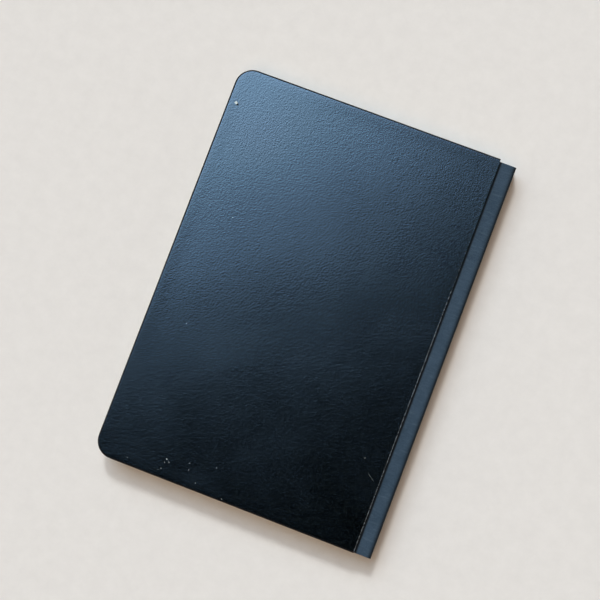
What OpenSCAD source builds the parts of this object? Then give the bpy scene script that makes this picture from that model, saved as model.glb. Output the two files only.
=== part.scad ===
// Pocket notebook, A6. Two covered boards are laid over a U-shaped strip of
// book cloth that wraps the back of a sewn text block.
// The notebook lies on its front cover. +X points to the spine, +Y to the head,
// +Z through the thickness. The origin is under the middle, on the front cover.

/* [Cover] */
// Width from the fore edge to the outer face of the spine
cover_w = 105; // [80:1:150]
// Height from tail to head
cover_h = 148; // [110:1:210]
// Radius of the two corners at the fore edge
corner_r = 6.5; // [2:0.5:12]
// Thickness of the greyboard inside a cover
board_t = 1.2; // [0.8:0.1:2.5]
// Thickness of the black covering on a board
covering_t = 0.2; // [0.1:0.05:0.4]
// How far the covering is turned in over the inside of a board
turn_in = 12; // [6:1:18]

/* [Spine strip] */
// Width of the strip that shows beside each board
strip_show = 6.3; // [3:0.1:12]
// Width of the strip that is glued under each board
strip_hidden = 10; // [5:1:20]
// Thickness of the strip
strip_t = 0.35; // [0.2:0.05:0.6]
// How far the strip stops short of the boards at the head
strip_short = 0.8; // [0:0.1:2]

/* [Text block] */
// Thickness of one leaf
leaf_t = 0.085; // [0.06:0.005:0.12]
// Leaves in one sewn signature
leaves_each = 8; // [4:2:16]
// How far the boards stand past the leaves at the fore edge
overhang_fore = 2.1; // [0.5:0.1:4]
// How far the boards stand past the leaves at the head and at the tail
overhang_head = 1.3; // [0.5:0.1:4]
// Radius of the corners of the leaves at the fore edge
leaf_corner_r = 5; // [1:0.5:10]
// Sewing stations along the spine
stations = 4; // [2:1:6]
// Diameter of the sewing thread
thread_d = 0.24; // [0.1:0.02:0.4]

/* [Hidden] */
HALF = 5;              // signatures in each half of the block
AIR = 0.02;            // clearance between neighbouring pieces that move apart
PASTE_T = 0.12;        // endpaper thickness
GLUE_T = 0.18;
LINING_T = 0.32;
LEAF_GAP = 0.015;      // air between loose leaves
LEAF_STEP = 0.15;      // each loose leaf is hinged this much further from the spine
CENTRE_LEAVES = 3;
LEAF_BACK = 0.1;       // last loose leaf to the backs of the signatures
PASTE_GAP = 0.03;      // air between a pastedown and the block
PASTE_STOP = 2.5;      // a pastedown stops this far from the outer face of the spine
STEP_GAP = 0.1;        // pastedown to the hidden edge of the strip
STRIP_TAIL = 0.1;      // how far the strip stops short of the boards at the tail
FOLD_GAP = 0.05;       // between the two parts of the strip where it folds
LINING_SHORT = 1;      // how far the lining stops short of the block, head and tail
STITCH = 14;           // length of one stitch
SEWING_MARGIN = 10;    // unsewn length at the head and at the tail
PAST = 1;              // how far a cutting shape runs past the piece
$fn = 48;

fore_x = -cover_w / 2;
spine_x = cover_w / 2;
head_y = cover_h / 2;
board_x = spine_x - strip_show;          // spine-side cut edge of both boards
cover_t = board_t + 2 * covering_t;      // one covered board
strip_z = cover_t + strip_t;             // inner face of the strip under a board
paste_x = spine_x - PASTE_STOP;          // where a pastedown stops in the joint
flange_x = board_x - strip_hidden;       // hidden edge of the strip

leaf_x0 = fore_x + overhang_fore;
leaf_y = head_y - overhang_head;
sig_t = leaves_each * leaf_t;
block_z = strip_z + PASTE_T + PASTE_GAP; // first face of the block
fly_t = PASTE_T;
strip_y = -head_y + STRIP_TAIL;          // tail end of the strip
strip_h = cover_h - STRIP_TAIL - strip_short;
centre_t = CENTRE_LEAVES * leaf_t + (CENTRE_LEAVES + 1) * LEAF_GAP;
half_t = fly_t + HALF * sig_t;
total_t = 2 * (block_z + half_t) + centre_t;
mid_z = total_t / 2;

strip_in_x = spine_x - strip_t;          // inner face of the strip on the spine
lining_x = strip_in_x - AIR - LINING_T;
glue_x = lining_x - GLUE_T;
thread_x = glue_x - thread_d;
fold_x = thread_x;                       // back of the folded signatures

// Flat outline that is square at the spine and round at the two fore-edge corners.
module page_shape(x0, x1, y1, r) {
    union() {
        translate([x0 + r, -y1]) square([x1 - x0 - r, 2 * y1]);
        translate([x0, -y1 + r]) square([r, 2 * (y1 - r)]);
        for (side = [-1, 1])
            translate([x0 + r, side * (y1 - r)]) circle(r = r);
    }
}

module sheet(x0, x1, y1, r, z0, thick) {
    translate([0, 0, z0])
        linear_extrude(height = thick)
            page_shape(x0, x1, y1, r);
}

// A long bar with the cross-section of points, from y0 to y1.
module bar(points, y0, y1) {
    translate([0, y1, 0])
        rotate([90, 0, 0])
            linear_extrude(height = y1 - y0)
                polygon(points);
}

// The back half is the front half turned over about the middle of the thickness.
module back_side() {
    translate([0, 0, total_t])
        mirror([0, 0, 1])
            children();
}

// Covering: outer face, three wrapped edges and the turn-ins, open at the spine side.
module cover_sheet() {
    color("#16181c")
        difference() {
            sheet(fore_x, board_x, head_y, corner_r, 0, cover_t);
            sheet(fore_x + covering_t, board_x + PAST, head_y - covering_t,
                  corner_r - covering_t, covering_t, board_t);
            translate([fore_x + turn_in, -head_y + turn_in, covering_t])
                cube([board_x + PAST - fore_x - turn_in, cover_h - 2 * turn_in, cover_t]);
        }
}

// Greyboard with the infill that levels the turn-ins.
module board() {
    color("#8b8680")
        union() {
            sheet(fore_x + covering_t, board_x, head_y - covering_t,
                  corner_r - covering_t, covering_t, board_t);
            translate([fore_x + turn_in, -head_y + turn_in, covering_t])
                cube([board_x - fore_x - turn_in, cover_h - 2 * turn_in,
                      cover_t - covering_t]);
        }
}

// Endpaper half that lines the cover and steps over the edge of the strip.
module pastedown() {
    step_x = flange_x - STEP_GAP - PASTE_T;
    z_low = cover_t;
    z_high = strip_z;
    color("#e9e2d0")
        intersection() {
            bar([
                [leaf_x0, z_low], [step_x + PASTE_T, z_low], [step_x + PASTE_T, z_high],
                [paste_x, z_high], [paste_x, z_high + PASTE_T],
                [step_x, z_high + PASTE_T], [step_x, z_low + PASTE_T],
                [leaf_x0, z_low + PASTE_T]
            ], -leaf_y, leaf_y);
            sheet(leaf_x0, paste_x, leaf_y, leaf_corner_r, z_low, PAST);
        }
}

// Part of the strip that is glued under a board and crosses the open joint.
module hinge_strip() {
    color("#3c4148")
        translate([flange_x, strip_y, cover_t])
            cube([spine_x - flange_x, strip_h, strip_t]);
}

// Part of the strip that covers one half of the spine.
module spine_strip() {
    color("#3c4148")
        translate([strip_in_x, strip_y, strip_z + FOLD_GAP])
            cube([strip_t, strip_h, mid_z - AIR / 2 - strip_z - FOLD_GAP]);
}

module flyleaf() {
    color("#ece6d6")
        sheet(leaf_x0, fold_x - sig_t / 2, leaf_y, leaf_corner_r, block_z, fly_t);
}

// Signature n of a half, counted from the cover: folded sheets with a round back.
module signature(n) {
    z0 = block_z + fly_t + (n - 1) * sig_t;
    color("#efe9da")
        union() {
            sheet(leaf_x0, fold_x - sig_t / 2, leaf_y, leaf_corner_r, z0, sig_t);
            translate([fold_x - sig_t / 2, leaf_y, z0 + sig_t / 2])
                rotate([90, 0, 0])
                    cylinder(d = sig_t, h = 2 * leaf_y);
        }
}

// Long stitches over the backs of the signatures, one pair of holes per station.
module sewing_thread() {
    pitch = 2 * (leaf_y - SEWING_MARGIN) / stations;
    color("#f4f1e8")
        for (n = [1 : HALF])
            for (s = [0 : stations - 1])
                translate([thread_x + thread_d / 2,
                           -leaf_y + SEWING_MARGIN + (s + 0.5) * pitch + STITCH / 2,
                           block_z + fly_t + (n - 0.5) * sig_t])
                    rotate([90, 0, 0])
                        cylinder(d = thread_d, h = STITCH);
}

module spine_layer(x0, thick, short) {
    translate([x0, -leaf_y + short, block_z])
        cube([thick, 2 * (leaf_y - short), half_t]);
}

module spine_glue() {
    color("#d9cfae") spine_layer(glue_x, GLUE_T, 0);
}

module spine_lining() {
    color("#cfc6b4") spine_layer(lining_x, LINING_T, LINING_SHORT);
}

// Loose leaf n of the middle opening, counted from the front cover.
module centre_leaf(n) {
    color("#f1ecdf")
        sheet(leaf_x0, fold_x - LEAF_BACK - (CENTRE_LEAVES - n) * LEAF_STEP, leaf_y, leaf_corner_r,
              block_z + half_t + LEAF_GAP + (n - 1) * (leaf_t + LEAF_GAP), leaf_t);
}

cover_sheet();  // front_cover_sheet
board();  // front_board
pastedown();  // front_pastedown
hinge_strip();  // front_hinge_strip
flyleaf();  // front_flyleaf
signature(1);  // signature_01
signature(2);  // signature_02
signature(3);  // signature_03
signature(4);  // signature_04
signature(5);  // signature_05
sewing_thread();  // front_sewing_thread
spine_glue();  // front_spine_glue
spine_lining();  // front_spine_lining
spine_strip();  // front_spine_strip
centre_leaf(1);  // centre_leaf_1
centre_leaf(2);  // centre_leaf_2
centre_leaf(3);  // centre_leaf_3
back_side() signature(5);  // signature_06
back_side() signature(4);  // signature_07
back_side() signature(3);  // signature_08
back_side() signature(2);  // signature_09
back_side() signature(1);  // signature_10
back_side() flyleaf();  // back_flyleaf
back_side() sewing_thread();  // back_sewing_thread
back_side() spine_glue();  // back_spine_glue
back_side() spine_lining();  // back_spine_lining
back_side() spine_strip();  // back_spine_strip
back_side() hinge_strip();  // back_hinge_strip
back_side() pastedown();  // back_pastedown
back_side() board();  // back_board
back_side() cover_sheet();  // back_cover_sheet
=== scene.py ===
"""The looks of an A6 pocket notebook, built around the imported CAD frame. Metres, +Z up."""

import math
import random

import bmesh
import bpy
from mathutils import Matrix, Vector


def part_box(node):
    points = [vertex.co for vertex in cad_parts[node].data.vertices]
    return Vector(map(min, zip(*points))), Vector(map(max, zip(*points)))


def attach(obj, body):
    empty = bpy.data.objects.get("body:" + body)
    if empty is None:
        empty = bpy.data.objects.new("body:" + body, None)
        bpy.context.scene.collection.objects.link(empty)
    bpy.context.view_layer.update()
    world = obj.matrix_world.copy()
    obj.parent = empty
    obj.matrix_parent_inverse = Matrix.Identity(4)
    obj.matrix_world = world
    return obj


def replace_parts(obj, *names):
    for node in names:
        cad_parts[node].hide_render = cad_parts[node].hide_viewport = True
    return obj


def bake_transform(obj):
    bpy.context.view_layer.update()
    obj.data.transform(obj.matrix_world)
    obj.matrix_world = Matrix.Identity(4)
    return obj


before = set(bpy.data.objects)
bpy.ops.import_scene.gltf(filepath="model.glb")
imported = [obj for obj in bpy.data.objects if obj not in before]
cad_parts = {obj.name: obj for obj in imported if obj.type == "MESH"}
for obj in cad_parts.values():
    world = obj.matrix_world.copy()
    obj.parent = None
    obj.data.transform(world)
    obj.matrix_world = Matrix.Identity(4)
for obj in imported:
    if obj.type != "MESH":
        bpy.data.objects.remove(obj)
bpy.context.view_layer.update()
scene = bpy.context.scene
MM = 0.001


# ---------------------------------------------------------------- places taken from the frame
def low(node):
    """Lowest corner of a CAD node, in millimetres."""
    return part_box(node)[0] / MM


def high(node):
    """Highest corner of a CAD node, in millimetres."""
    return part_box(node)[1] / MM


FORE_X = low("front_cover_sheet").x
BOARD_X = high("front_cover_sheet").x          # spine-side cut edge of both boards
SPINE_X = high("front_spine_strip").x
HEAD_Y = high("front_cover_sheet").y
STRIP_Y0 = low("front_hinge_strip").y
STRIP_Y1 = high("front_hinge_strip").y
TOTAL_T = high("back_cover_sheet").z
MID_Z = TOTAL_T / 2
COVER_T = high("front_cover_sheet").z
STRIP_T = high("front_hinge_strip").z - low("front_hinge_strip").z
FLANGE_X = low("front_hinge_strip").x
LEAF_X0 = low("signature_01").x
LEAF_Y = high("signature_01").y
FOLD_X = high("signature_01").x
COVER_R = 6.5                                   # rounded corners of the boards
LEAF_R = 5.0                                    # rounded corners of the leaves
COVERING_T = 0.2
LEAVES = 8                                      # leaves in one signature
SHOULDER_R = 0.7                                # where the strip turns over the spine
SHADE_ROUND = 0.4                               # from the start of that turn to its line of painted shade
# two places along the strip, measured from its hidden edge: the board edge and that line of
# painted shade
JOINT_LENGTH = BOARD_X - FLANGE_X
CORNER_SHADE_LENGTH = SPINE_X - STRIP_T / 2 - SHOULDER_R + SHADE_ROUND - FLANGE_X


# ---------------------------------------------------------------- camera
CAMERA_PLACE = (35.3, -25.7, 510.5)             # millimetres
CAMERA_FORWARD = (-0.0758, 0.0555, -0.9956)
CAMERA_UP = (-0.3506, 0.9332, 0.0787)


def make_camera():
    """Looks almost straight down, with the head of the notebook leaning to the right."""
    data = bpy.data.cameras.new("camera")
    data.lens = 85
    data.sensor_width = 36
    data.clip_start = 0.02
    data.clip_end = 20
    camera = bpy.data.objects.new("camera", data)
    scene.collection.objects.link(camera)
    forward = Vector(CAMERA_FORWARD).normalized()
    right = forward.cross(Vector(CAMERA_UP)).normalized()
    up = right.cross(forward)
    rotation = Matrix((right, up, -forward)).transposed().to_4x4()
    camera.matrix_world = Matrix.Translation(Vector(CAMERA_PLACE) * MM) @ rotation
    scene.camera = camera


make_camera()


# ---------------------------------------------------------------- node helpers
class Nodes:
    """A thin wrapper round the nodes of a material or of the world."""

    def __init__(self, owner):
        owner.use_nodes = True
        self.owner = owner
        self.tree = owner.node_tree

    def feed(self, socket, value):
        """Give an input another node's output, a number, a vector or a colour."""
        if isinstance(value, bpy.types.NodeSocket):
            self.tree.links.new(value, socket)
        elif socket.type == "RGBA" and len(value) == 3:
            socket.default_value = (*value, 1)
        else:
            socket.default_value = value

    def add(self, kind, **settings):
        """A new node. Each setting is one of its inputs, by name, or else its own property."""
        node = self.tree.nodes.new("ShaderNode" + kind)
        for key, value in settings.items():
            name = key.replace("_", " ")
            if name in node.inputs:
                self.feed(node.inputs[name], value)
            else:
                setattr(node, key, value)
        return node

    def place(self, kind="Object"):
        return self.add("TexCoord").outputs[kind]

    def axis(self, name, where=None):
        """One coordinate of the point as it was modelled, in metres, or of a UV map."""
        return self.add("SeparateXYZ", Vector=where or self.place()).outputs[name]

    def mapping(self, where=None, **settings):
        return self.add("Mapping", Vector=where or self.place(), **settings).outputs[0]

    def noise(self, scale, detail, roughness, where=None):
        node = self.add("TexNoise", Vector=where or self.place(), Scale=scale, Detail=detail,
                        Roughness=roughness)
        return node.outputs["Fac"]

    def tones(self, value, pair, start=0.3, end=0.7):
        """The first colour of a pair up to start, the second from end on."""
        node = self.add("ValToRGB", Fac=value)
        for stop, position, color in zip(node.color_ramp.elements, (start, end), pair):
            stop.position, stop.color = position, (*color, 1)
        return node.outputs["Color"]

    def math(self, operation, a, b=None, clamp=False):
        node = self.add("Math", operation=operation, use_clamp=clamp)
        self.feed(node.inputs[0], a)
        if b is not None:
            self.feed(node.inputs[1], b)
        return node.outputs[0]

    def vector(self, operation, a, b, result="Vector"):
        node = self.add("VectorMath", operation=operation)
        self.feed(node.inputs[0], a)
        self.feed(node.inputs[1], b)
        return node.outputs[result]

    def range(self, value, from_min, from_max, to_min=0.0, to_max=1.0, **settings):
        node = self.add("MapRange", Value=value, From_Min=from_min, From_Max=from_max,
                        To_Min=to_min, To_Max=to_max, **settings)
        return node.outputs[0]

    def ease(self, value, from_min, from_max, to_min, to_max):
        """Like range, but slow at the start, so that a shade fades in."""
        share = self.range(value, from_min, from_max)
        return self.range(self.math("POWER", share, 3.0), 0.0, 1.0, to_min, to_max)

    def mix(self, factor, a, b):
        return self.add("MixRGB", Fac=factor, Color1=a, Color2=b).outputs[0]

    def bump(self, height, millimetres, strength):
        node = self.add("Bump", Height=height, Distance=millimetres * MM, Strength=strength)
        return node.outputs["Normal"]

    def finish(self, **inputs):
        """Set the shader's own inputs, and return the material."""
        shader = self.tree.nodes["Principled BSDF"]
        for key, value in inputs.items():
            self.feed(shader.inputs[key.replace("_", " ")], value)
        return self.owner


def new_material(name):
    return Nodes(bpy.data.materials.new(name))


# ---------------------------------------------------------------- colours, as linear RGB
# each pair of tones is the darkest and the lightest of a material's own unevenness
COVERING_TONES = (0.0001, 0.0003, 0.0005), (0.0060, 0.0090, 0.0098)
COVERING_WORN = (0.21, 0.205, 0.185)
COVERING_SHEEN = (0.50, 0.715, 0.97)
EDGE_TONES = (0.003, 0.0035, 0.0045), (0.007, 0.008, 0.010)
BOARD_TONES = (0.14, 0.125, 0.105), (0.33, 0.30, 0.255)
CLOTH_TONES = (0.018, 0.038, 0.065), (0.042, 0.072, 0.113)
CLOTH_SCUFF = (0.075, 0.115, 0.155)
# painted shade, for the joint beside the board edge and the turn over the spine
CLOTH_PAINTED_SHADE = (0.003, 0.004, 0.006)
CLOTH_SHEEN = (0.7, 0.85, 1.0)
ENDPAPER_TONES = (0.72, 0.665, 0.555), (0.76, 0.71, 0.60)
LEAF_TONES = (0.765, 0.715, 0.61), (0.80, 0.755, 0.65)
DOT_COLOR = (0.30, 0.31, 0.33)
THREAD_COLOR = (0.72, 0.69, 0.62)
GLUE_TONES = (0.42, 0.36, 0.24), (0.60, 0.53, 0.38)
LINING_TONES = (0.44, 0.40, 0.33), (0.60, 0.55, 0.46)
SPECK_TONES = (0.50, 0.60, 0.64), (0.80, 0.90, 0.92)
FLOOR_TONES = (0.725, 0.725, 0.725), (0.765, 0.765, 0.765)


# ---------------------------------------------------------------- materials
def covering_material():
    """Near-black grained covering, semi-gloss, rubbed pale along the cut edge."""
    n = new_material("covering")
    pebbles = n.add("TexVoronoi", Vector=n.place(), Scale=2000.0, Randomness=1.0)
    fine = n.noise(2700.0, 2.0, 0.6)
    medium = n.noise(1450.0, 3.0, 0.6)
    broad = n.noise(60.0, 4.0, 0.6)
    height = n.math("ADD", n.math("MULTIPLY", fine, 0.8), medium)
    height = n.math("ADD", height, n.math("MULTIPLY", pebbles.outputs["Distance"], 0.35))
    color = n.tones(n.noise(1700.0, 2.0, 0.6), COVERING_TONES, 0.46, 0.72)
    # the cut edge is rubbed in short stretches, less so near the head
    near_edge = n.range(n.axis("X"), (BOARD_X - 0.28) * MM, (BOARD_X - 0.12) * MM)
    flecks = n.noise(1500.0, 5.0, 0.75, n.mapping(Scale=(0.5, 1.0, 0.5)))
    tailward = n.range(n.axis("Y"), 60 * MM, 10 * MM, -0.20, 0.02)
    worn = n.range(n.math("ADD", flecks, tailward), 0.42, 0.68)
    worn = n.math("MULTIPLY", worn, near_edge, clamp=True)
    rough = n.range(broad, 0.3, 0.7, 0.10, 0.16)
    rough = n.math("ADD", rough, n.math("MULTIPLY", worn, 0.5), clamp=True)
    return n.finish(
        Base_Color=n.mix(worn, color, COVERING_WORN), Roughness=rough,
        Normal=n.bump(height, 0.031, 1.0), IOR=1.8, Specular_IOR_Level=1.0,
        Specular_Tint=COVERING_SHEEN,
    )


def edge_material():
    """The same covering where it is stretched over the board edges: duller."""
    n = new_material("covering_edge")
    fine = n.noise(1500.0, 3.0, 0.6)
    return n.finish(
        Base_Color=n.tones(fine, EDGE_TONES), Roughness=0.8, Normal=n.bump(fine, 0.02, 0.8),
        Specular_IOR_Level=0.12,
    )


def board_material():
    """Greyboard, with fibres in thin layers."""
    n = new_material("greyboard")
    layers = n.noise(700.0, 6.0, 0.7, n.mapping(Scale=(1.0, 1.0, 4.0)))
    return n.finish(
        Base_Color=n.tones(layers, BOARD_TONES), Roughness=0.92,
        Normal=n.bump(layers, 0.06, 0.8), Specular_IOR_Level=0.2,
    )


def strip_material():
    """Smooth slate book cloth: fine weave, with painted shade in the joint beside the board edge
    and along the turn over the spine.
    Its UVs are the length along the strip and the place along the spine, in millimetres."""
    n = new_material("spine_cloth")
    uv = n.add("UVMap").outputs[0]
    length = n.axis("X", uv)
    weave = []
    for direction in ("X", "Y"):
        wave = n.add("TexWave", bands_direction=direction, Vector=uv, Scale=0.62,
                     Distortion=0.8, Detail=1.0)
        weave.append(wave.outputs["Fac"])
    cloud = n.noise(0.13, 5.0, 0.65, uv)
    fibres = n.noise(2.2, 3.0, 0.6, uv)
    tone = n.math("ADD", n.math("MULTIPLY", cloud, 0.5), n.math("MULTIPLY", fibres, 0.5))
    color = n.tones(tone, CLOTH_TONES, 0.36, 0.64)
    slant = n.mapping(uv, Rotation=(0, 0, 0.9), Scale=(0.25, 1.6, 1.0))
    scuffs = n.range(n.noise(0.9, 3.0, 0.6, slant), 0.52, 0.74, 0.0, 0.5)
    color = n.mix(scuffs, color, CLOTH_SCUFF)
    # painted shadow: a dark line on the cloth beside the board's edge, where the raised board
    # shades it
    joint = n.range(length, JOINT_LENGTH + 1.0, JOINT_LENGTH + 0.70, 0.0, 0.93)
    # painted shade: darker towards the strip's turn over the spine, where the cloth curves away
    # from the light, with a dark line at the turn
    corner = n.math("MINIMUM",
                    n.ease(length, CORNER_SHADE_LENGTH - 2.4, CORNER_SHADE_LENGTH - 0.1, 0.0, 0.9),
                    n.range(length, CORNER_SHADE_LENGTH + 1.3, CORNER_SHADE_LENGTH + 0.8, 0.0, 0.9))
    color = n.mix(n.math("MAXIMUM", joint, corner, clamp=True), color, CLOTH_PAINTED_SHADE)
    return n.finish(
        Base_Color=color, Roughness=n.range(cloud, 0.3, 0.7, 0.60, 0.68),
        Normal=n.bump(n.math("ADD", *weave), 0.008, 0.35), Specular_IOR_Level=0.3,
        Specular_Tint=CLOTH_SHEEN,
    )


def paper_material(name, tones, dotted=False):
    """Uncoated ivory paper; dotted leaves carry a faint 5 mm dot grid."""
    n = new_material(name)
    fibres = n.noise(900.0, 6.0, 0.7)
    color = n.tones(n.noise(60.0, 3.0, 0.5), tones)
    if dotted:
        dot_pitch, margin = 5, 4
        uv = n.add("UVMap").outputs[0]
        cells = n.mapping(uv, Scale=(1 / dot_pitch, 1 / dot_pitch, 1))
        cell = n.add("VectorMath", operation="FRACTION", Vector=cells).outputs[0]
        off_centre = n.vector("DISTANCE", cell, (0.5, 0.5, 0.0), result="Value")
        dot = n.range(off_centre, 0.05, 0.036)
        inside = n.math("LESS_THAN", n.math("ABSOLUTE", n.axis("Y", uv)), LEAF_Y - margin)
        dot = n.math("MULTIPLY", dot, inside)
        color = n.mix(n.math("MULTIPLY", dot, 0.45), color, DOT_COLOR)
    return n.finish(
        Base_Color=color, Roughness=0.88, Normal=n.bump(fibres, 0.01, 0.5),
        Specular_IOR_Level=0.25,
    )


def thread_material():
    """Twisted linen thread."""
    n = new_material("thread")
    twist = n.add("TexWave", bands_direction="DIAGONAL", Vector=n.place(), Scale=1400.0)
    return n.finish(
        Base_Color=THREAD_COLOR, Roughness=0.75, Normal=n.bump(twist.outputs["Fac"], 0.02, 0.7),
    )


def glue_material():
    """Dried spine glue, uneven and slightly glossy."""
    n = new_material("glue")
    cloud = n.noise(400.0, 3.0, 0.5)
    return n.finish(
        Base_Color=n.tones(cloud, GLUE_TONES), Roughness=0.4, Normal=n.bump(cloud, 0.04, 0.6),
    )


def lining_material():
    """Open-weave lining cloth."""
    n = new_material("lining")
    checks = n.add("TexChecker", Vector=n.place(), Scale=1400.0).outputs["Fac"]
    return n.finish(
        Base_Color=n.mix(checks, *LINING_TONES), Roughness=0.9,
        Normal=n.bump(checks, 0.03, 0.6),
    )


def speck_material():
    """Pale crumbs and rubbed spots."""
    n = new_material("speck")
    cloud = n.noise(3000.0, 3.0, 0.5)
    return n.finish(Base_Color=n.tones(cloud, SPECK_TONES), Roughness=0.8)


COVERING = covering_material()
COVERING_EDGE = edge_material()
GREYBOARD = board_material()
CLOTH = strip_material()
ENDPAPER = paper_material("endpaper", ENDPAPER_TONES)
LEAF = paper_material("leaves", LEAF_TONES, dotted=True)
THREAD = thread_material()
GLUE = glue_material()
LINING = lining_material()
SPECK = speck_material()


# ---------------------------------------------------------------- mesh helpers
MERGE_DISTANCE = 1e-7                           # metres


def make_object(name, points, faces, material, uvs=None, sharp=35.0, other=None, rim=None):
    """A mesh piece from points in millimetres. other holds a second material and the
    faces that carry it; the UVs of the faces from rim on are left at zero."""
    mesh = bpy.data.meshes.new(name)
    mesh.from_pydata([Vector(p) * MM for p in points], [], faces)
    if uvs:
        layer = mesh.uv_layers.new(name="UVMap")
        for polygon in mesh.polygons:
            if rim is None or polygon.index < rim:
                for index in polygon.loop_indices:
                    layer.data[index].uv = uvs[mesh.loops[index].vertex_index]
    mesh.materials.append(material)
    if other:
        mesh.materials.append(other[0])
        for index in other[1]:
            mesh.polygons[index].material_index = 1
    mesh.validate()
    obj = bpy.data.objects.new(name, mesh)
    scene.collection.objects.link(obj)
    tidy_normals(obj, sharp)
    return obj


def tidy_normals(obj, sharp):
    """Merge doubled points, face outwards, and shade smooth except over sharp degrees."""
    work = bmesh.new()
    work.from_mesh(obj.data)
    bmesh.ops.remove_doubles(work, verts=work.verts, dist=MERGE_DISTANCE)
    bmesh.ops.recalc_face_normals(work, faces=work.faces)
    work.to_mesh(obj.data)
    work.free()
    for polygon in obj.data.polygons:
        polygon.use_smooth = True
    obj.data.set_sharp_from_angle(angle=math.radians(sharp))


def apply_modifier(obj, kind, **settings):
    """Add a modifier, take its result as the mesh, and leave no modifier on the piece."""
    modifier = obj.modifiers.new(kind.lower(), kind)
    for key, value in settings.items():
        setattr(modifier, key, value)
    depsgraph = bpy.context.evaluated_depsgraph_get()
    mesh = bpy.data.meshes.new_from_object(obj.evaluated_get(depsgraph))
    obj.modifiers.clear()
    old = obj.data
    obj.data = mesh
    bpy.data.meshes.remove(old)


def grid_faces(rows, columns):
    """Quads of a grid of points stored row by row."""
    faces = []
    for r in range(rows - 1):
        for c in range(columns - 1):
            a = r * columns + c
            b = a + columns
            faces.append((a, a + 1, b + 1, b))
    return faces


def spread(a, b, step):
    """Evenly spaced values from a to b, about step apart."""
    count = max(1, round(abs(b - a) / step))
    return [a + (b - a) * i / count for i in range(count + 1)]


# ---------------------------------------------------------------- covers
ARC_STEPS = 10                                  # round a corner of a board
SKIN_GAP = 0.02                                 # between the covering and its board
WAVE_ROOM = 0.03                                # lowers the waves to about the CAD surface
MARGIN = 2.2                                    # about how far the boards pass the block
TURN_IN = 12.0                                  # width of the covering folded inside


def cover_ring(inset, side_step=2.0):
    """A line round the tail, the fore edge and the head, inset from the outline.
    It starts and ends at the spine side, where it isn't inset."""
    near = max(inset, COVER_R)
    tail_end = FORE_X + near
    sides = round((BOARD_X - FORE_X) / side_step)
    fores = round(2 * HEAD_Y / side_step)
    ring = []
    for i in range(sides + 1):
        ring.append((BOARD_X + (tail_end - BOARD_X) * i / sides, -HEAD_Y + inset))
    radius = max(0.0, COVER_R - inset)
    for i in range(1, ARC_STEPS + 1):
        angle = math.radians(270 - 90 * i / ARC_STEPS)
        ring.append((FORE_X + near + radius * math.cos(angle),
                     -HEAD_Y + near + radius * math.sin(angle)))
    for i in range(1, fores):
        ring.append((FORE_X + inset, (-HEAD_Y + near) * (1 - 2 * i / fores)))
    return ring + [(x, -y) for x, y in reversed(ring[: sides + 1 + ARC_STEPS])]


def waviness(x, y):
    """Slow unevenness of a pasted board, in millimetres: three crossed waves."""
    return (0.020 * math.sin(x / 17.0 + 0.6) * math.sin(y / 23.0 + 1.1)
            + 0.012 * math.sin(x / 7.1 + y / 11.3) + 0.008 * math.sin(y / 6.3 - x / 19.0))


def border_dip(inset):
    """How far the covering lies below the middle: lower over the margin, which nothing
    holds up, with a faint pressed line where the block ends."""
    drop, line_drop, line_width = 0.016, 0.002, 0.4
    t = max(0.0, min(1.0, (MARGIN - inset) / MARGIN))
    line = math.exp(-((inset - MARGIN) / line_width) ** 2)
    return drop * t * t * (3 - 2 * t) + line_drop * line


def make_covering(name, flip):
    """Covering skin: outer face, rounded edges, side walls and turn-ins, as one shell.
    Each row holds its inset, its height and how much of the waviness it takes."""
    edge_r, inner_r, steps, turn_rows, wave_fade = 0.6, 0.25, 8, 4, 4.0
    over_border = [3.2, 2.8, 2.5, 2.2, 1.9, 1.6, 1.2, 0.8]
    insets = [HEAD_Y] + spread(HEAD_Y - 2, 4.0, 2.2) + over_border
    rows = [(d, COVER_T - border_dip(d), 1.0) for d in insets]
    top = COVER_T - border_dip(edge_r)
    for i in range(steps + 1):
        a = math.radians(90 * i / steps)
        rows.append((edge_r * (1 - math.sin(a)), top - edge_r * (1 - math.cos(a)), 0.0))
    for i in range(steps + 1):
        a = math.radians(90 * i / steps)
        rows.append((inner_r * (1 - math.cos(a)), inner_r * (1 - math.sin(a)), 0.0))
    rows += [(TURN_IN * k / turn_rows, 0.0, 0.0) for k in range(1, turn_rows + 1)]
    points = []
    for inset, z, wavy in rows:
        fade = wavy * min(1.0, max(0.0, (inset - over_border[-1]) / wave_fade))
        for x, y in cover_ring(inset):
            points.append((x, y, z + fade * (waviness(x, y) - WAVE_ROOM)))
    columns = len(points) // len(rows)
    rolled = range(len(insets) * (columns - 1), (len(rows) - turn_rows - 1) * (columns - 1))
    obj = make_object(name, points, grid_faces(len(rows), columns), COVERING,
                      other=(COVERING_EDGE, rolled))
    apply_modifier(obj, "SOLIDIFY", thickness=(COVERING_T - SKIN_GAP) * MM, offset=-1.0)
    tidy_normals(obj, 40)
    settle(obj, flip)
    return obj


def settle(obj, flip):
    """Pieces of a cover are modelled with the outer face up: turn them over for the front,
    lift them to the top for the back."""
    for vertex in obj.data.vertices:
        if flip:
            vertex.co.z = COVER_T * MM - vertex.co.z
        else:
            vertex.co.z += (TOTAL_T - COVER_T) * MM
    if flip:
        obj.data.flip_normals()


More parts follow.
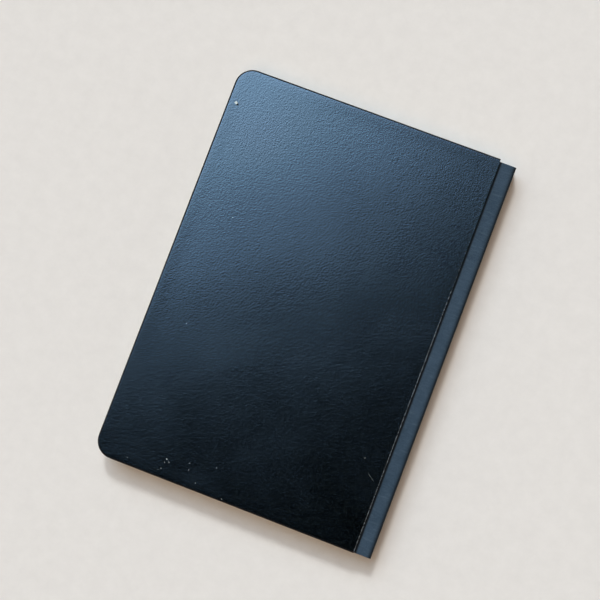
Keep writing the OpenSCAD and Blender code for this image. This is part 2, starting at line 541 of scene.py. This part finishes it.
def make_board(name, flip, seed):
    """Greyboard core with a slightly fibrous cut edge at the spine side."""
    rng = random.Random(seed)
    inset = COVERING_T + SKIN_GAP
    level_step, cut_step, low_bevel, high_bevel, fibre = 0.25, 0.6, 0.05, 0.22, 0.07
    z0, z1 = SKIN_GAP, COVER_T - COVERING_T - WAVE_ROOM
    levels = [(z0, low_bevel), (z0 + low_bevel, 0.0)]
    levels += [(z, 0.0) for z in spread(z0 + level_step, z1 - level_step, level_step)]
    levels += [(z1, high_bevel)]
    points = []
    for z, bevel in levels:
        ring = cover_ring(inset + bevel, 4.0)
        cuts = round((ring[-1][1] - ring[0][1]) / cut_step)
        ys = [(-HEAD_Y + inset) * (2 * i / cuts - 1) for i in range(1, cuts)]
        for x, y in ring + [(BOARD_X, y) for y in ys]:
            on_cut_edge = x > BOARD_X - 0.01
            rough = rng.uniform(0.0, fibre) if on_cut_edge else 0.0
            points.append((x - rough, y, z))
    count = len(points) // len(levels)
    faces = []
    for k in range(len(levels) - 1):
        for i in range(count):
            j = (i + 1) % count
            faces.append((k * count + i, k * count + j, (k + 1) * count + j, (k + 1) * count + i))
    faces.append(tuple(range(count)))
    faces.append(tuple((len(levels) - 1) * count + i for i in reversed(range(count))))
    obj = make_object(name, points, faces, GREYBOARD, sharp=50)
    settle(obj, flip)
    return obj


for side, flip in (("front", True), ("back", False)):
    covering = make_covering(side + "_covering", flip)
    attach(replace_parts(covering, side + "_cover_sheet"), side + "_cover")
    board = make_board(side + "_greyboard", flip, 11 if flip else 12)
    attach(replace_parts(board, side + "_board"), side + "_cover")


# ---------------------------------------------------------------- sheets that follow a path
def thin_sheet(name, path, thick, half_y, material, y_mid=0.0, step_y=6.0, along=False):
    """A closed thin sheet. path holds (x, z, share of the half width) along its middle.
    Its UVs are x and y in millimetres, except on its edge. With along, they are the length
    along the path and y, on the edge too."""
    lengths = [0.0]
    for (xa, za, _), (xb, zb, _) in zip(path, path[1:]):
        lengths.append(lengths[-1] + math.hypot(xb - xa, zb - za))
    across = spread(-1.0, 1.0, step_y / half_y)
    points, uvs = [], []
    for side in (0.5, -0.5):
        for i, (x, z, share) in enumerate(path):
            before, after = path[max(0, i - 1)], path[min(len(path) - 1, i + 1)]
            dx, dz = after[0] - before[0], after[1] - before[1]
            size = math.hypot(dx, dz) or 1.0
            nx, nz = -dz / size, dx / size
            for t in across:
                y = y_mid + t * half_y * share
                points.append((x + nx * side * thick, y, z + nz * side * thick))
                uvs.append((lengths[i] if along else x, y))
    rows, columns = len(path), len(across)
    shift = rows * columns
    faces = grid_faces(rows, columns)
    below = [tuple(v + shift for v in reversed(face)) for face in faces]
    loop = list(range(columns))
    loop += [r * columns + columns - 1 for r in range(1, rows)]
    loop += [(rows - 1) * columns + c for c in range(columns - 2, -1, -1)]
    loop += [r * columns for r in range(rows - 2, 0, -1)]
    edge = [(a, a + shift, b + shift, b) for a, b in zip(loop, loop[1:] + loop[:1])]
    return make_object(name, points, faces + below + edge, material, uvs,
                       rim=None if along else 2 * len(faces))


def leaf_end(x0, half_y, z, count=8):
    """Path points of the fore-edge end of a leaf, where its rounded corners are."""
    points = []
    for i in range(count + 1):
        angle = math.radians(90 * i / count)
        x = x0 + LEAF_R * (1 - math.cos(angle))
        share = (half_y - LEAF_R + LEAF_R * math.sin(angle)) / half_y
        points.append((x, z, share))
    return points


def turn(x, z, radius, start, end, count):
    """Path points on an arc about (x, z), count steps long. The angles are in degrees from
    +X towards +Z."""
    return [(x + radius * math.cos(math.radians(a)), z + radius * math.sin(math.radians(a)), 1.0)
            for a in spread(start, end, abs(end - start) / count)]


# ---------------------------------------------------------------- spine strip
def make_strip(side):
    """One half of the cloth strip: under the board, across the joint and over the spine."""
    half_t = STRIP_T / 2
    level = COVER_T + half_t
    wall_x = SPINE_X - half_t
    turn_x, turn_z = wall_x - SHOULDER_R, level + SHOULDER_R
    fine_step, half_gap = 0.1, 0.005
    path = [(x, level, 1.0) for x in spread(FLANGE_X, BOARD_X - 0.3, 2.5)]
    path += [(x, level, 1.0) for x in spread(BOARD_X, turn_x - fine_step, fine_step)]
    path += turn(turn_x, turn_z, SHOULDER_R, -90, 0, 8)
    path += [(wall_x, z, 1.0) for z in spread(turn_z + 0.3, MID_Z - half_gap, 0.6)]
    if side == "back":
        path = [(x, TOTAL_T - z, share) for x, z, share in path]
    half_y = (STRIP_Y1 - STRIP_Y0) / 2
    strip = thin_sheet(side + "_cloth_strip", path, STRIP_T, half_y, CLOTH,
                       y_mid=(STRIP_Y1 + STRIP_Y0) / 2, step_y=2.0, along=True)
    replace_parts(strip, side + "_hinge_strip", side + "_spine_strip")
    if side == "front":
        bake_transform(strip)
    else:
        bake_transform(strip)


make_strip("front")
make_strip("back")


# ---------------------------------------------------------------- endpapers
def make_pastedown(side):
    """The endpaper pasted to a cover. It steps over the hidden edge of the strip."""
    slack, board_gap, strip_gap = 0.02, 0.005, 0.012
    thick = high("front_flyleaf").z - low("front_flyleaf").z - slack
    low_z = COVER_T + thick / 2 + board_gap
    high_z = COVER_T + STRIP_T + thick / 2 + strip_gap
    step_x = FLANGE_X - 0.5
    path = leaf_end(LEAF_X0, LEAF_Y, low_z)
    path += [(x, low_z, 1.0) for x in spread(LEAF_X0 + LEAF_R + 3, step_x - 0.5, 6.0)]
    path += [(step_x + 0.1, (low_z + high_z) / 2, 1.0)]
    path += [(x, high_z, 1.0) for x in spread(step_x + 0.8, BOARD_X - 2, 3.0)]
    path += [(x, high_z, 1.0) for x in spread(BOARD_X - 1.5, SPINE_X - 1.15, 0.12)]
    if side == "back":
        path = [(x, TOTAL_T - z, share) for x, z, share in path]
    sheet = thin_sheet(side + "_pasted_endpaper", path, thick, LEAF_Y, ENDPAPER)
    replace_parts(sheet, side + "_pastedown")
    if side == "front":
        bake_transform(sheet)
    else:
        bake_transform(sheet)


def make_flyleaf(side):
    """The other half of the endpaper, flat on the block."""
    slack = 0.03
    node = side + "_flyleaf"
    bottom, top = low(node).z, high(node).z
    middle = (bottom + top) / 2
    path = leaf_end(LEAF_X0, LEAF_Y, middle, 7)
    path += [(x, middle, 1.0) for x in spread(LEAF_X0 + LEAF_R + 8, high(node).x, 30.0)]
    fly = thin_sheet(side + "_fly_endpaper", path, top - bottom - slack, LEAF_Y, ENDPAPER,
                     step_y=50.0)
    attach(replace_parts(fly, node), side + "_block")


for side in ("front", "back"):
    make_pastedown(side)
    make_flyleaf(side)


# ---------------------------------------------------------------- signatures
SIGNATURES = 10
SHEET_T = 0.066                                 # a little less than the pitch of the leaves
PRESSED_R = 0.1                                 # fold corner of the outermost sheet


def folded_sheet(z_mid, gap, fold_x, corner, dx, dy):
    """One sheet folded into two leaves that lie gap apart. The fold reaches fold_x and
    is round, or squared by the press with a small corner radius."""
    half = gap / 2
    corner = min(corner, half)
    bend_x = fold_x - SHEET_T / 2 - corner
    lower = leaf_end(LEAF_X0 + dx, LEAF_Y + dy, z_mid - half, 7)
    lower += [(x, z_mid - half, 1.0) for x in spread(LEAF_X0 + 14, bend_x - 0.3, 45.0)]
    lower += turn(bend_x, z_mid - half + corner, corner, -90, 0, 3)
    upper = [(x, 2 * z_mid - z, share) for x, z, share in reversed(lower)]
    if corner == half:
        upper = upper[1:]
    return thin_sheet("sheet", lower + upper, SHEET_T, LEAF_Y + dy, LEAF, step_y=50.0)


def make_signature(number):
    """Four folded sheets, nested, each a hair out of line with the next."""
    fold_gap = 0.02
    node = "signature_%02d" % number
    rng = random.Random(100 + number)
    z0, z1 = low(node).z, high(node).z
    pitch = (z1 - z0) / LEAVES
    sheets = []
    shift_x, shift_y = rng.uniform(0.0, 0.10), rng.uniform(-0.05, 0.05)
    for k in range(LEAVES // 2):
        gap = pitch * (LEAVES - 1 - 2 * k)
        sheets.append(folded_sheet((z0 + z1) / 2, gap, FOLD_X - fold_gap - pitch * k,
                                   PRESSED_R if k == 0 else gap,
                                   shift_x + rng.uniform(-0.03, 0.05),
                                   shift_y + rng.uniform(-0.03, 0.03)))
    with bpy.context.temp_override(active_object=sheets[0], selected_editable_objects=sheets):
        bpy.ops.object.join()
    piece = sheets[0]
    piece.name = node + "_leaves"
    body = "front_block" if number <= SIGNATURES // 2 else "back_block"
    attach(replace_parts(piece, node), body)


for number in range(1, SIGNATURES + 1):
    make_signature(number)


# ---------------------------------------------------------------- leaves of the middle opening
LIFT_REACH = {1: 26.0, 2: 22.0, 3: 18.0}        # how far from the gutter each leaf bends
LOOSE_T = 0.07                                  # a loose leaf
GUARD_T = 0.03
GUARD_GAP = 0.022                               # between the guard's middle and the block


def make_centre_leaf(number):
    """A loose flat leaf, with its path finer towards the gutter."""
    node = "centre_leaf_%d" % number
    z = (low(node).z + high(node).z) / 2
    x1 = high(node).x
    coarse_end, fine_start = x1 - 32, x1 - 30
    path = leaf_end(LEAF_X0 + 0.03 * number, LEAF_Y, z)
    path += [(x, z, 1.0) for x in spread(LEAF_X0 + LEAF_R + 3, coarse_end, 6.0)]
    path += [(x, z, 1.0) for x in spread(fine_start, x1, 1.0)]
    leaf = thin_sheet(node + "_page", path, LOOSE_T, LEAF_Y, LEAF)
    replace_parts(leaf, node)
    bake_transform(leaf)


def make_centre_gutter():
    """A guard of paper that joins the two halves of the block across the middle opening."""
    z_low = high("signature_05").z + GUARD_GAP
    z_high = low("signature_06").z - GUARD_GAP
    radius = (z_high - z_low) / 2
    bend_x = high("front_spine_lining").x - 0.03 - radius
    path = [(x, z_low, 1.0) for x in spread(high("centre_leaf_1").x + 0.06, bend_x - 0.05, 0.2)]
    path += turn(bend_x, MID_Z, radius, -90, 90, 14)
    path += [(x, z_high, 1.0) for x in spread(bend_x - 0.05, high("centre_leaf_3").x + 0.04, 0.2)]
    guard = thin_sheet("centre_gutter_fold", path, GUARD_T, LEAF_Y - 0.2, ENDPAPER)
    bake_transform(guard)


for number in LIFT_REACH:
    make_centre_leaf(number)
make_centre_gutter()


# ---------------------------------------------------------------- marks of use on the back cover
# each speck as x, y and radius, in millimetres
SPECKS = (
    (-26.7, -67.0, 0.24), (-27.5, -70.7, 0.17), (-27.0, -68.3, 0.15), (-25.6, -67.7, 0.16),
    (-18.1, -67.8, 0.15), (-18.6, -65.4, 0.15), (-14.2, -71.2, 0.18), (-9.2, -63.6, 0.14),
    (-40.0, -71.4, 0.16), (-3.6, -73.1, 0.17), (38.3, -41.7, 0.15), (-28.3, -71.5, 0.13),
    (-37.5, -19.9, 0.09), (-35.6, 21.3, 0.08),
)
SPECK_HEIGHT = 0.03
SPECK_ROOT = 0.05                               # how deep a speck goes into the covering
MARK_ROOT = 0.06                                # the same for a flat mark
MARK_SINK = 0.005                               # its low side, below the top of the cover

# each flat mark as its four corners, and how much higher its first two corners stand
SCRATCH = ((40.9, -46.0), (40.915, -45.985), (43.995, -48.275), (43.98, -48.29), 0.005)
NICK = ((-50.0, 60.25), (-49.55, 60.95), (-48.75, 60.5), (-49.1, 59.8), 0.03)
# painted shadow: a dark flat mark on the lower side of the nick, where a raised crumb would cast
# shade
NICK_SHADOW = ((-49.1, 59.8), (-48.75, 60.5), (-48.3, 60.3), (-48.5, 59.55), 0.03)
BOX_FACES = ((0, 1, 2, 3), (7, 6, 5, 4), (0, 4, 5, 1), (1, 5, 6, 2), (2, 6, 7, 3), (3, 7, 4, 0))


def make_speck(rng, x, y, size):
    """A low irregular crumb, as a small dome with an uneven edge."""
    sides, waist = 9, 0.7
    top = TOTAL_T - 0.02
    rim = []
    for i in range(sides):
        a = 2 * math.pi * i / sides
        r = size * rng.uniform(0.6, 1.15)
        rim.append((x + r * math.cos(a), y + r * math.sin(a)))
    points = [(px, py, top - SPECK_ROOT) for px, py in rim]
    points += [(x + (px - x) * waist, y + (py - y) * waist, top + SPECK_HEIGHT * 0.6)
               for px, py in rim]
    points += [(x, y, top + SPECK_HEIGHT), (x, y, top - SPECK_ROOT)]
    faces = []
    for i in range(sides):
        j = (i + 1) % sides
        faces.append((i, j, sides + j, sides + i))
        faces.append((sides + i, sides + j, 2 * sides))
        faces.append((j, i, 2 * sides + 1))
    return points, faces


def make_specks():
    """Specks, mostly near the tail, a fine scratch, and a nick near the fore edge with a painted
    shadow beside it, a dark flat mark."""
    rng = random.Random(5)
    points, faces = [], []
    for x, y, size in SPECKS:
        more, more_faces = make_speck(rng, x, y, size)
        faces += [tuple(v + len(points) for v in face) for face in more_faces]
        points += more
    for *corners, height in (SCRATCH, NICK, NICK_SHADOW):
        first = len(points)
        points += [(x, y, TOTAL_T - MARK_ROOT) for x, y in corners]
        points += [(x, y, TOTAL_T - MARK_SINK + height * (1 - i // 2))
                   for i, (x, y) in enumerate(corners)]
        faces += [tuple(first + v for v in face) for face in BOX_FACES]
    nick_shadow_faces = range(len(faces) - len(BOX_FACES), len(faces))
    specks = make_object("back_cover_specks", points, faces, SPECK, sharp=20,
                         other=(COVERING_EDGE, nick_shadow_faces))
    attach(specks, "back_cover")


make_specks()


# ---------------------------------------------------------------- CAD pieces that stay
def dress(node, material):
    """Give a CAD piece that keeps its shape a material of its own."""
    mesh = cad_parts[node].data
    mesh.materials.clear()
    mesh.materials.append(material)


for side in ("front", "back"):
    dress(side + "_sewing_thread", THREAD)
    dress(side + "_spine_glue", GLUE)
    dress(side + "_spine_lining", LINING)


# ---------------------------------------------------------------- floor and light
FLOOR_DROP = 0.05                               # keeps the floor clear of the covering
WINDOW_DIRECTION = (-0.48, 0.48, 1.0)
WINDOW_INNER = 16.0                             # degrees off its middle, still at full power
WINDOW_OUTER = 39.0                             # degrees off its middle, none left
WINDOW_FALL = 3.7                               # how steeply it fades between the two
WINDOW_POWER = 3.8
WINDOW_COLOR = (0.76, 0.90, 1.0)
DARK_DIRECTION = (0.08, -0.1, 1.0)              # no fill comes from round here
DARK_INNER = 24.0
DARK_OUTER = 50.0
HORIZON_TOP = 79.0                              # degrees from straight up
HORIZON_FOOT = 86.0
FILL_COLOR = (0.318, 0.288, 0.252)
HORIZON_COLOR = (0.72, 0.71, 0.69)


def make_floor():
    """A plain pale floor with a barely uneven tone."""
    n = new_material("floor")
    color = n.tones(n.noise(180.0, 5.0, 0.7), FLOOR_TONES)
    material = n.finish(Base_Color=color, Roughness=0.95, Specular_IOR_Level=0.1)
    size = 3000.0
    corners = [(-size, -size, 0), (size, -size, 0), (size, size, 0), (-size, size, 0)]
    floor = make_object("floor", corners, [(0, 1, 2, 3)], material)
    floor.location.z = -FLOOR_DROP * MM


def make_world():
    """Soft room light: a cool window high up on the fore-edge and head side, a dim fill that
    leaves a dark patch overhead, and a pale horizon."""
    world = bpy.data.worlds.new("world")
    scene.world = world
    n = Nodes(world)
    where = n.place("Generated")

    def lobe(direction, inner, outer):
        """1 within inner degrees of a direction, smoothly 0 beyond outer degrees."""
        dot = n.vector("DOT_PRODUCT", where, Vector(direction).normalized(), result="Value")
        return n.range(n.math("ARCCOSINE", dot), math.radians(outer), math.radians(inner),
                       interpolation_type="SMOOTHSTEP")

    def tinted(value, color):
        node = n.add("VectorMath", operation="SCALE", Vector=color, Scale=value)
        return node.outputs[0]

    window = n.math("POWER", lobe(WINDOW_DIRECTION, WINDOW_INNER, WINDOW_OUTER), WINDOW_FALL)
    window = n.math("MULTIPLY", window, WINDOW_POWER)
    dark = lobe(DARK_DIRECTION, DARK_INNER, DARK_OUTER)
    above = lobe((0.0, 0.0, 1.0), HORIZON_TOP, HORIZON_FOOT)
    fill = n.math("MULTIPLY", n.math("SUBTRACT", 1.0, dark), above)
    horizon = n.math("SUBTRACT", 1.0, above)
    total = n.vector("ADD", tinted(window, WINDOW_COLOR), tinted(fill, FILL_COLOR))
    total = n.vector("ADD", total, tinted(horizon, HORIZON_COLOR))
    n.feed(n.tree.nodes["Background"].inputs["Color"], total)


def make_sun(name, direction, degrees, energy, color):
    """A soft light from far away, so many degrees across; direction points to it."""
    data = bpy.data.lights.new(name, "SUN")
    data.angle = math.radians(degrees)
    data.energy = energy
    data.color = color
    sun = bpy.data.objects.new(name, data)
    scene.collection.objects.link(sun)
    sun.rotation_euler = Vector(direction).to_track_quat("Z", "Y").to_euler()
    return sun


make_floor()
make_world()
make_sun("key", direction=(-0.30, 0.70, 1.0), degrees=9, energy=1.05, color=(1.0, 0.985, 0.955))
warm_fill = make_sun("warm_fill", direction=(0.0, -0.40, 1.0), degrees=30, energy=0.64,
                     color=(1.0, 0.59, 0.28))
warm_fill.visible_glossy = False     # its reflection would show as a brown patch on the cover
scene.view_settings.view_transform = "Standard"
